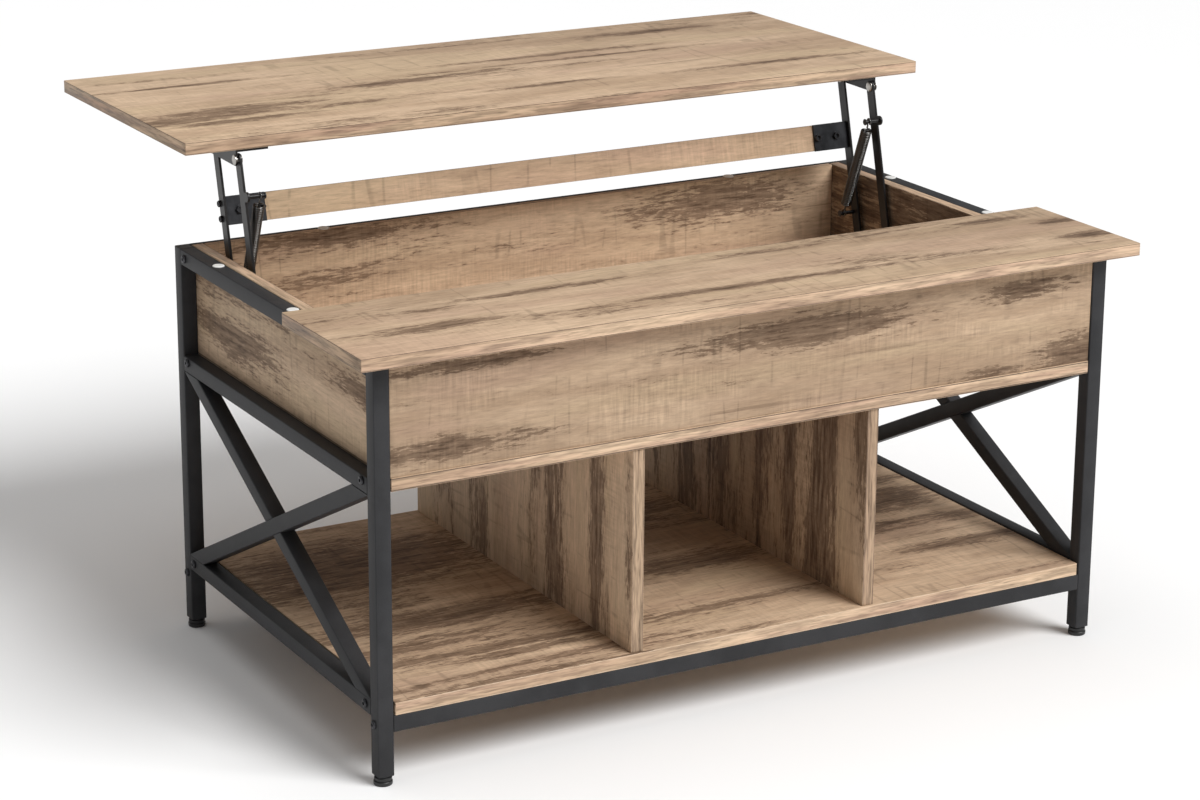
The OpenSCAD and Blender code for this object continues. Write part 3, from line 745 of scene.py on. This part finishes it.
# a rippled bead along X at each inner corner of the side frames
def weldBeads(bm):
    for hand in ("left", "right"):
        legLow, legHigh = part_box(f"leg_front_{hand}")
        x0, x1 = legLow.x + weld["margin"], legHigh.x - weld["margin"]
        walls = (legHigh.y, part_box(f"leg_rear_{hand}")[0].y)
        heights = [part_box(f"top_rail_{hand}")[0].z]
        for level in ("mid", "low"):
            heights += [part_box(f"{level}_rail_{hand}")[0].z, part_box(f"{level}_rail_{hand}")[1].z]
        steps = ceil((x1 - x0) / weld["ripple"]) * weld["steps"]
        for y in walls:
            for z in heights:
                loops = []
                for n in range(steps + 1):
                    radius = weld["radius"] * (1 - weld["depth"] * abs(sin(pi * n / weld["steps"])))
                    spot = Vector((x0 + (x1 - x0) * n / steps, y, z))
                    loops.append([bm.verts.new(spot + Vector((0, cos(a), sin(a))) * radius)
                                  for a in (2 * pi * k / weld["sides"] for k in range(weld["sides"]))])
                skin(bm, loops)
                bm.faces.new(loops[0])
                bm.faces.new(loops[-1])


piece("frame_welds", "frame", [coatBlack], weldBeads, sharp=60)
print("frame tubes done")


# head and socket in metres; rim, crown, foot and mouth are shares of the head's height and radii
button = dict(
    headRadius=0.0051, socketRadius=0.0021, socketDepth=0.0016, socketEdge=0.0002, shankRadius=0.003,
    shankEnd=0.0005, rim=0.3, crown=0.55, foot=0.96, mouth=1.25)


# round bolt head with a six-sided socket, seated at a point and facing a direction
def socketHead(bm, seat, direction, tall):
    axes = axesAlong(direction)
    wide, socket = button["headRadius"], button["socketRadius"]
    dome = arc(wide, tall * button["rim"], wide * button["crown"], tall, 6)
    loops = [ring(bm, seat, axes, wide * button["foot"], 0)]
    loops += [ring(bm, seat, axes, radius, height) for radius, height in dome]
    loops += [ring(bm, seat, axes, socket * button["mouth"], tall),
              ring(bm, seat, axes, socket, tall - button["socketEdge"], True),
              ring(bm, seat, axes, socket, tall - button["socketDepth"], True)]
    skin(bm, loops)
    bm.faces.new(loops[0])
    bm.faces.new(loops[-1])


def sideBolts(bm, node):
    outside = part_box("leg_front_right")[1].x
    shank, shankEnd = button["shankRadius"], button["shankEnd"]
    for points in solids(node):
        way = Vector((1, 0, 0)) if points[0].x > 0 else Vector((-1, 0, 0))
        top, end = tip(points, way), tip(points, -way)
        seat = Vector((way.x * outside, top.y, top.z))
        socketHead(bm, seat, way, abs(top.x) - outside)
        long = (seat - end).length
        lathe(bm, [(shank, 0.0), (shank, long - shankEnd), (shank - shankEnd, long)], seat, -way, 24)


for node in ("rail_bolts", "board_bolts", "panel_bolts"):
    piece(node + "_set", "frame", [boltBlack], lambda bm: sideBolts(bm, node), [node], 30)

flushScrew = dict(
    shank=0.0025, sink=0.004, proud=0.0002, recess=0.0021, depth=0.0022, point=0.004, pointEnd=0.0005,
    rim=0.0003)


# screws with sunk heads, a hair above the board so that head and board stay apart
def sunkScrews(bm):
    shank, recess, proud, rim = (flushScrew[key] for key in ("shank", "recess", "proud", "rim"))
    middle = (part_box("divider_left")[0].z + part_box("divider_left")[1].z) / 2
    for points in solids("divider_screws"):
        way = Vector((0, 0, 1 if points[0].z > middle else -1))
        top, end = tip(points, way), tip(points, -way)
        head, long = width(points, Vector((1, 0, 0))) / 2, (top - end).length
        profile = [(0, 0), (shank * 0.4, flushScrew["pointEnd"]), (shank, flushScrew["point"]),
                   (shank, long - flushScrew["sink"]), (head, long - rim), (head - rim, long + proud * 0.6),
                   (recess * 1.4, long + proud), (recess, long), (recess, long - flushScrew["depth"]),
                   (0, long - flushScrew["depth"])]
        lathe(bm, profile, end, way, 30)


piece("divider_screws_set", "frame", [zincPlate], sunkScrews, ["divider_screws"], 30)

# bottomEdge is (in from the pad's side, up), topEdge (in from the side, down from the groove)
footShape = dict(
    bottomEdge=((0.0012, 0), (0.0004, 0.0005), (0, 0.0013)), topEdge=((0, 0.0012), (0.0004, 0.0006)),
    groove=0.0055, grooveHalf=0.0003, grooveRadius=0.0092, upper=0.0098, upperFrom=0.0007, upperTop=0.0088,
    upperEdge=(0.0005, 0.0004), neck=0.0082, neckFrom=0.0094, gap=0.0006, stud=0.003, studEnd=0.0022,
    pitch=0.001, thread=0.0004)


def foot(bm, node):
    low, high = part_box(node)
    spot = Vector(((low.x + high.x) / 2, (low.y + high.y) / 2, low.z))
    pad, tall = (high.x - low.x) / 2, high.z - low.z
    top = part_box("leg_front_left")[0].z
    groove, grooveRadius, grooveHalf = (footShape[key] for key in ("groove", "grooveRadius", "grooveHalf"))
    upper, upperTop, neck, stud = (footShape[key] for key in ("upper", "upperTop", "neck", "stud"))
    edgeIn, edgeUp = footShape["upperEdge"]
    profile = [(pad - inwards, up) for inwards, up in footShape["bottomEdge"]]
    profile += [(pad - inwards, groove - down) for inwards, down in footShape["topEdge"]]
    profile += [(grooveRadius, groove - grooveHalf), (grooveRadius, groove + grooveHalf),
                (upper, groove + footShape["upperFrom"]), (upper, upperTop),
                (upper - edgeIn, upperTop + edgeUp), (neck, footShape["neckFrom"]),
                (neck, top - footShape["gap"]), (stud, top - footShape["gap"])]
    rise = top
    while rise < tall - footShape["pitch"]:
        profile += [(stud, rise), (stud - footShape["thread"], rise + footShape["pitch"] / 2)]
        rise += footShape["pitch"]
    profile += [(footShape["studEnd"], tall), (0, tall)]
    lathe(bm, profile, spot, (0, 0, 1), 48)


for place in ("front_left", "front_right", "rear_left", "rear_right"):
    name = "foot_" + place
    piece(name + "_pad", name, [footPlastic], lambda bm: foot(bm, name), [name], 28)

# shares of the bumper's radius and height
bumper = dict(sideTop=0.35, crown=0.72, crownTop=0.92, middle=0.4, middleTop=0.99)


def bumperDots(bm):
    for points in solids("bumpers"):
        top, bottom = tip(points, Vector((0, 0, 1))), tip(points, Vector((0, 0, -1)))
        radius, tall = width(points, Vector((1, 0, 0))) / 2, top.z - bottom.z
        crown, crownTop = radius * bumper["crown"], tall * bumper["crownTop"]
        profile = [(radius, 0)] + arc(radius, tall * bumper["sideTop"], crown, crownTop, 5)
        profile += [(radius * bumper["middle"], tall * bumper["middleTop"]), (0, tall)]
        lathe(bm, profile, bottom, (0, 0, 1), 40)


piece("bumper_dots", "frame", [bumperWhite], bumperDots, ["bumpers"], 50)
print("bolts, feet and bumpers done")


# the lift's pivots at rest, and the directions along the arms and behind them
joints = {j["name"]: j for j in frame["joints"]}
rearBase = Vector(joints["lift"]["pos_m"])
rearTop = Vector(joints["lift_top_pivot"]["pos_m"])
frontBase = Vector(joints["front_arm_left_pivot"]["pos_m"])
armUp = (rearTop - rearBase).normalized()
armLong = (rearTop - rearBase).length
armBack = Vector((0, armUp.z, -armUp.y))
armIn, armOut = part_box("rear_arm_right")[0].x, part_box("rear_arm_right")[1].x

arm = dict(width=0.015, chamfer=0.0005, earRadius=0.006, leastSlant=0.4)


# move each corner of a closed outline inwards along its mitre
def inset(points, amount):
    moved = []
    count = len(points)
    for n in range(count):
        before = (points[n] - points[n - 1]).normalized()
        after = (points[(n + 1) % count] - points[n]).normalized()
        normal = Vector((-before.y, before.x)) + Vector((-after.y, after.x))
        if normal.length < 1e-6:
            normal = Vector((-before.y, before.x))
        normal.normalize()
        slant = max(normal.dot(Vector((-before.y, before.x))), arm["leastSlant"])
        moved.append(points[n] + normal * amount / slant)
    return moved


# a flat bar from an outline in (behind, up) measures round a root, between two x values
def flatBar(bm, outline, root, x0, x1, chamfer):
    inner = inset(outline, chamfer)

    def section(points, x):
        return [bm.verts.new(Vector((x, root.y, root.z)) + armBack * p.x + armUp * p.y) for p in points]

    loops = [section(inner, x0), section(outline, x0 + chamfer),
             section(outline, x1 - chamfer), section(inner, x1)]
    skin(bm, loops)
    bm.faces.new(loops[0])
    bm.faces.new(loops[-1])


# round both ends, with an ear in front for the spring's pin where one is given
def armOutline(ear=None):
    half, earRadius = arm["width"] / 2, arm["earRadius"]

    def bend(centre, radius, start, end, steps=12):
        return [Vector((centre[0] + radius * cos(a), centre[1] + radius * sin(a)))
                for a in (radians(start + (end - start) * n / steps) for n in range(steps + 1))]

    outline = bend((0, 0), half, 180, 360) + bend((0, armLong), half, 0, 180)
    if ear:
        out, up = ear
        outline += [Vector((-half, up + earRadius))]
        outline += bend((-out, up), earRadius, 90, 270, 8)
        outline += [Vector((-half, up - earRadius))]
    return outline


# the pins that hold the springs, and the springs' eyes round them
pin = dict(radius=0.0025, headRadius=0.004, head=0.0015, headEdge=(0.0004, 0.0003), beyond=0.0065,
           eye=0.0037, wire=0.0009)


def springPlace(hand):
    low = Vector(joints[f"spring_{hand}_swing"]["pos_m"])
    along = Vector(joints[f"spring_{hand}_stretch"]["axis"]).normalized()
    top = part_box(f"spring_hook_{hand}")[1].z - pin["eye"] - pin["wire"]
    return low, along, (top - low.z) / along.z


# a headed pin from inside the spring out to the arm
def pinShape(bm, hand, centre):
    way = 1 if hand == "right" else -1
    inside = abs(centre.x) - pin["beyond"]
    wide, head = pin["headRadius"], pin["head"]
    edgeIn, edgeUp = pin["headEdge"]
    profile = [(wide - edgeIn, 0), (wide, edgeUp), (wide, head - edgeUp), (wide - edgeIn, head),
               (pin["radius"], head), (pin["radius"], armIn - inside)]
    lathe(bm, profile, Vector((way * inside, centre.y, centre.z)), (way, 0, 0), 28)


def makeArms():
    for hand in ("left", "right"):
        way = 1 if hand == "right" else -1
        x0, x1 = sorted((way * armIn, way * armOut))
        low, along, length = springPlace(hand)
        upper = low + along * length
        offset = upper - Vector((upper.x, frontBase.y, frontBase.z))
        ear = (-offset.dot(armBack), offset.dot(armUp))

        def frontArm(bm):
            flatBar(bm, armOutline(ear), frontBase, x0, x1, arm["chamfer"])
            pinShape(bm, hand, upper)

        piece(f"front_arm_{hand}_bar", f"front_arm_{hand}", [armBlack], frontArm,
              [f"front_arm_{hand}"], 30)
        piece(f"rear_arm_{hand}_bar", "rear_arms", [armBlack],
              lambda bm: flatBar(bm, armOutline(), rearBase, x0, x1, arm["chamfer"]),
              [f"rear_arm_{hand}"], 30)


makeArms()


def lowPins(bm):
    for hand in ("left", "right"):
        pinShape(bm, hand, springPlace(hand)[0])


piece("low_spring_pins_pair", "rear_arms", [boltBlack], lowPins, ["low_spring_pins"], 30)

rivet = dict(radius=0.004, head=0.0065, dome=0.0018, collar=0.007, collarGap=0.0003, plate=0.0025,
             tail=0.006, tailThick=0.001, tailEdge=(0.0005, 0.0003))


# domed rivets with the head towards the table's middle; tail is the outer end's (radius, distance back)
def rivets(bm, node, tail):
    seat = rivet["dome"]
    for points in solids(node):
        way = Vector((1, 0, 0)) if points[0].x > 0 else Vector((-1, 0, 0))
        inner, outer = tip(points, -way), tip(points, way)
        long = abs(outer.x - inner.x)
        profile = [(0, 0)] + [(r, h) for r, h in arc(rivet["head"], seat * 0.8, 0.0, 0.0, 8)[::-1] if r > 0]
        profile += [(rivet["head"], seat), (rivet["radius"], seat)]
        profile += [(r, long - back) for r, back in tail] + [(tail[-1][0], long)]
        lathe(bm, profile, inner, way, 36)


def makeRivets():
    radius, collar, plate = rivet["radius"], rivet["collar"], rivet["plate"]
    tail, thick = rivet["tail"], rivet["tailThick"]
    edgeIn, edgeBack = rivet["tailEdge"]
    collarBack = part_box("base_brackets")[1].x - armOut - rivet["collarGap"]
    baseTail = [(radius, collarBack), (collar, collarBack), (collar, plate), (radius, plate)]
    topTail = [(radius, thick), (tail, thick), (tail, edgeBack), (tail - edgeIn, 0.0)]
    for node, body, end in (("base_rivets", "frame", baseTail), ("top_rivets", "lift_top", topTail)):
        piece(node + "_set", body, [rivetNickel], lambda bm: rivets(bm, node, end), [node], 30)


makeRivets()

# the batten's tone lightens it: painted light for the front light that reaches it under the lift top
battenLook = dict(arris=0.0006, shift=51.3, tone=1.22)


# the batten leans with the arms, so its section is found along their directions
def batten(bm):
    low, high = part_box("batten")
    points = solids("batten")[0]
    spans = []
    for direction in (armBack, armUp):
        reach = [p.dot(direction) for p in points]
        spans.append((min(reach), max(reach)))
    centre = armBack * sum(spans[0]) / 2 + armUp * sum(spans[1]) / 2
    halfBack, halfUp = (spans[0][1] - spans[0][0]) / 2, (spans[1][1] - spans[1][0]) / 2
    arris = battenLook["arris"]
    profile = [(arris, 0), (arris * 0.3, arris * 0.3), (0, arris)]
    levels = [(i, low.x + h) for i, h in profile] + [(i, high.x - h) for i, h in profile[::-1]]
    loops = []
    for slim, x in levels:
        loops.append([bm.verts.new(Vector((x, 0, 0)) + centre + armBack * a + armUp * b)
                      for a, b in roundSquare(halfBack - slim, halfUp - slim, arris * 1.2 - slim * 0.9, 2)])
    for face in skin(bm, loops):
        face.normal_update()
        face.material_index = 0 if abs(face.normal.dot(armBack)) > 0.6 else 1
    bm.faces.new(loops[0]).material_index = 1
    bm.faces.new(loops[-1]).material_index = 1


battenFace = oakFace("oakFace_batten", "batten", "xzy", (), battenLook["shift"], tone=battenLook["tone"])
piece("batten_bar", "rear_arms", [battenFace, seamDark], batten, ["batten"], 40)

# shares of the head's width across its flats, and of its height
hexHead = dict(flange=1.22, flangeTop=0.14, sideFrom=0.15, sideTop=0.84, crown=0.94, mouth=0.62, socket=0.5,
               socketFrom=0.8, socketEnd=0.35)


# six-sided head or nut: seat, facing direction, radius over corners, height
def hexShape(bm, seat, direction, radius, tall, hollow=True):
    axes = axesAlong(direction)
    flat = radius * cos(pi / 6)
    socket = flat * hexHead["socket"]
    loops = [ring(bm, seat, axes, flat * hexHead["flange"], 0),
             ring(bm, seat, axes, flat * hexHead["flange"], tall * hexHead["flangeTop"]),
             ring(bm, seat, axes, radius, tall * hexHead["sideFrom"], True),
             ring(bm, seat, axes, radius, tall * hexHead["sideTop"], True),
             ring(bm, seat, axes, flat * hexHead["crown"], tall)]
    if hollow:
        loops += [ring(bm, seat, axes, flat * hexHead["mouth"], tall),
                  ring(bm, seat, axes, socket, tall * hexHead["socketFrom"], True),
                  ring(bm, seat, axes, socket, tall * hexHead["socketEnd"], True)]
    skin(bm, loops)
    bm.faces.new(loops[0])
    bm.faces.new(loops[-1])


# armBolt goes sideways through the arm, battenBolt through the batten
linkBolt = dict(
    armBolt=dict(radius=0.00404, tall=0.0028, shank=0.002),
    battenBolt=dict(radius=0.00505, tall=0.0035, shank=0.0025),
    shortest=0.008, widest=0.009, nutIn=0.0055, nutTall=0.003)


def linkBolts(bm):
    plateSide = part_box("link_plates")[1].x
    for points in solids("link_bolts"):
        sideways = Vector((1, 0, 0)) if points[0].x > 0 else Vector((-1, 0, 0))
        inArm = width(points, sideways) > linkBolt["shortest"] and width(points, armBack) < linkBolt["widest"]
        way = sideways if inArm else -armBack
        size = linkBolt["armBolt" if inArm else "battenBolt"]
        top, end = tip(points, way), tip(points, -way)
        seat = top - way * size["tall"]
        hexShape(bm, seat, way, size["radius"], size["tall"])
        lathe(bm, [(size["shank"], 0), (size["shank"], (seat - end).length)], seat, -way, 20)
        if inArm:
            nutSeat = Vector((sideways.x * plateSide, seat.y, seat.z)) - sideways * linkBolt["nutIn"]
            hexShape(bm, nutSeat, -way, size["radius"], linkBolt["nutTall"], False)


piece("link_bolts_set", "rear_arms", [boltBlack], linkBolts, ["link_bolts"], 30)
print("lift arms done")


# lead runs from the coil to the straight part: (share of the radius, aside, beyond the coil's end);
# neck runs from the straight part into the eye: (aside, beyond the eye)
coil = dict(
    start=0.0135, endBack=0.013, radius=0.0059, pitch=0.0025, wire=0.0011, steps=20, smooth=4,
    lead=((0.85, 0.0012, 0.0006), (0.35, 0, 0.0022), (0, 0, 0.0042)), neck=((0, 0.003), (0.0004, 0.0016)),
    lowEye=range(35, 331, 25), highEye=range(150, -146, -25))


def springLine(hand):
    low, along, length = springPlace(hand)
    sideways = Vector((1, 0, 0))
    across = along.cross(sideways).normalized()

    def at(a, b, c):
        return low + sideways * a + across * b + along * c

    eye, radius, start, coilTop = pin["eye"], coil["radius"], coil["start"], length - coil["endBack"]
    count = round((coilTop - start) / coil["pitch"]) * coil["steps"]
    lower = [at(0, eye * sin(a), eye * cos(a)) for a in map(radians, coil["lowEye"])]
    lower += [at(0, -aside, eye + away) for aside, away in coil["neck"][::-1]]
    lower += [at(radius * share, -aside, start - away) for share, aside, away in coil["lead"][::-1]]
    body = []
    for n in range(count + 1):
        angle = 2 * pi * n / coil["steps"]
        body.append(at(radius * cos(angle), radius * sin(angle), start + (coilTop - start) * n / count))
    upper = [at(radius * share, aside, coilTop + away) for share, aside, away in coil["lead"]]
    upper += [at(0, aside, length - eye - away) for aside, away in coil["neck"]]
    upper += [at(0, eye * sin(a), length + eye * cos(a)) for a in map(radians, coil["highEye"])]
    line = smoothLine(lower, coil["smooth"])[:-1] + body + smoothLine(upper, coil["smooth"])[1:]
    return line, at(0, 0, start), at(0, 0, coilTop)


for hand in ("left", "right"):
    line, first, last = springLine(hand)
    spring = piece(f"spring_{hand}_wire", "rear_arms", [springWire],
                   lambda bm: wire(bm, line, coil["wire"], 8),
                   [f"spring_{hand}", f"spring_hook_{hand}"], 60, False)
    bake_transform(spring)
print("springs done")


# join is in metres; flat and sharp are angles in degrees
soft = dict(join=1e-5, flat=0.5, sharp=40, segments=2, weight=80)


# soften the edges of a CAD node without touching its mesh
def soften(node, amount):
    obj = frame["nodes"][node]
    joined = obj.modifiers.new("join", "WELD")
    joined.merge_threshold = soft["join"]
    flat = obj.modifiers.new("flatten", "DECIMATE")
    flat.decimate_type = "DISSOLVE"
    flat.angle_limit = radians(soft["flat"])
    rounded = obj.modifiers.new("round", "BEVEL")
    rounded.limit_method = "ANGLE"
    rounded.angle_limit = radians(soft["sharp"])
    rounded.width = amount
    rounded.segments = soft["segments"]
    even = obj.modifiers.new("even", "WEIGHTED_NORMAL")
    even.weight = soft["weight"]


# pressed and moulded parts that keep their CAD shape: finish, and rounding of the edges in metres
plain = dict(
    link_plates=(plateBlack, 0.0004), base_brackets=(plateBlack, 0.0004), top_brackets=(armBlack, 0.0004),
    top_bracket_screws=(zincPlate, 0), wood_screws=(zincPlate, 0), angle_brackets=(zincPlate, 0.0003),
    panel_dowels=(dowelBeech, 0), rail_end_inserts=(zincPlate, 0.0004),
    leg_caps=(footPlastic, 0.0006), leg_inserts=(footPlastic, 0.0004), rear_bar=(coatBlack, 0.0006))
for node, (material, amount) in plain.items():
    slots = frame["nodes"][node].data.materials
    slots.clear()
    slots.append(material)
    if amount:
        soften(node, amount)
print("pressed parts done")
